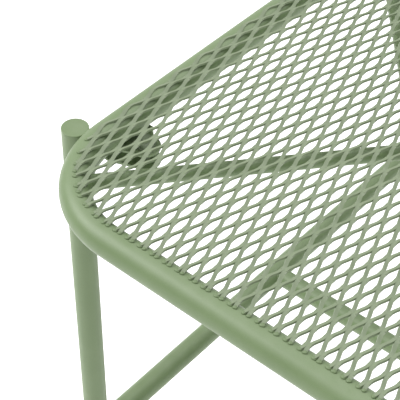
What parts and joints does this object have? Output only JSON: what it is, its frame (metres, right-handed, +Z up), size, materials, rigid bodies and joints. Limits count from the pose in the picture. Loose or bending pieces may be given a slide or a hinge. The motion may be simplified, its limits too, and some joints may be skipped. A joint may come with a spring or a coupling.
{
  "type": "picnic table",
  "caption": "Rectangular outdoor table with an expanded-metal top in a round tube rim, four outboard tube legs, end stretchers, a cross bar and diagonal braces.",
  "frame": {"origin": "centre of the footprint, on the floor", "axes": "+X along the table's length, +Y across its width, +Z up"},
  "size_m": [1.483, 0.853, 0.751],
  "materials": {
    "green_coat": "sage green satin powder coat",
    "mesh_coat": "sage green satin powder coat",
    "foot_plastic": "matt green",
    "fastener_steel": "green coated steel"
  },
  "bodies": {
    "root": {"bracket_bolts": "fastener_steel", "bracket_nuts": "fastener_steel", "bracket_washers": "fastener_steel", "cross_bar": "green_coat", "end_stretcher_left": "green_coat", "end_stretcher_right": "green_coat", "foot_back_left": "foot_plastic", "foot_back_right": "foot_plastic", "foot_front_left": "foot_plastic", "foot_front_right": "foot_plastic", "leg_back_left": "green_coat", "leg_back_right": "green_coat", "leg_bracket_back_left": "green_coat", "leg_bracket_back_right": "green_coat", "leg_bracket_front_left": "green_coat", "leg_bracket_front_right": "green_coat", "leg_cap_back_left": "green_coat", "leg_cap_back_right": "green_coat", "leg_cap_front_left": "green_coat", "leg_cap_front_right": "green_coat", "leg_front_left": "green_coat", "leg_front_right": "green_coat", "mesh_top": "mesh_coat", "top_brace_inner_left": "green_coat", "top_brace_inner_right": "green_coat", "top_brace_long_left": "green_coat", "top_brace_long_right": "green_coat", "top_brace_outer_left": "green_coat", "top_brace_outer_right": "green_coat", "top_mid_rail": "green_coat", "top_rim_left": "green_coat", "top_rim_right": "green_coat"}
  },
  "joints": []
}
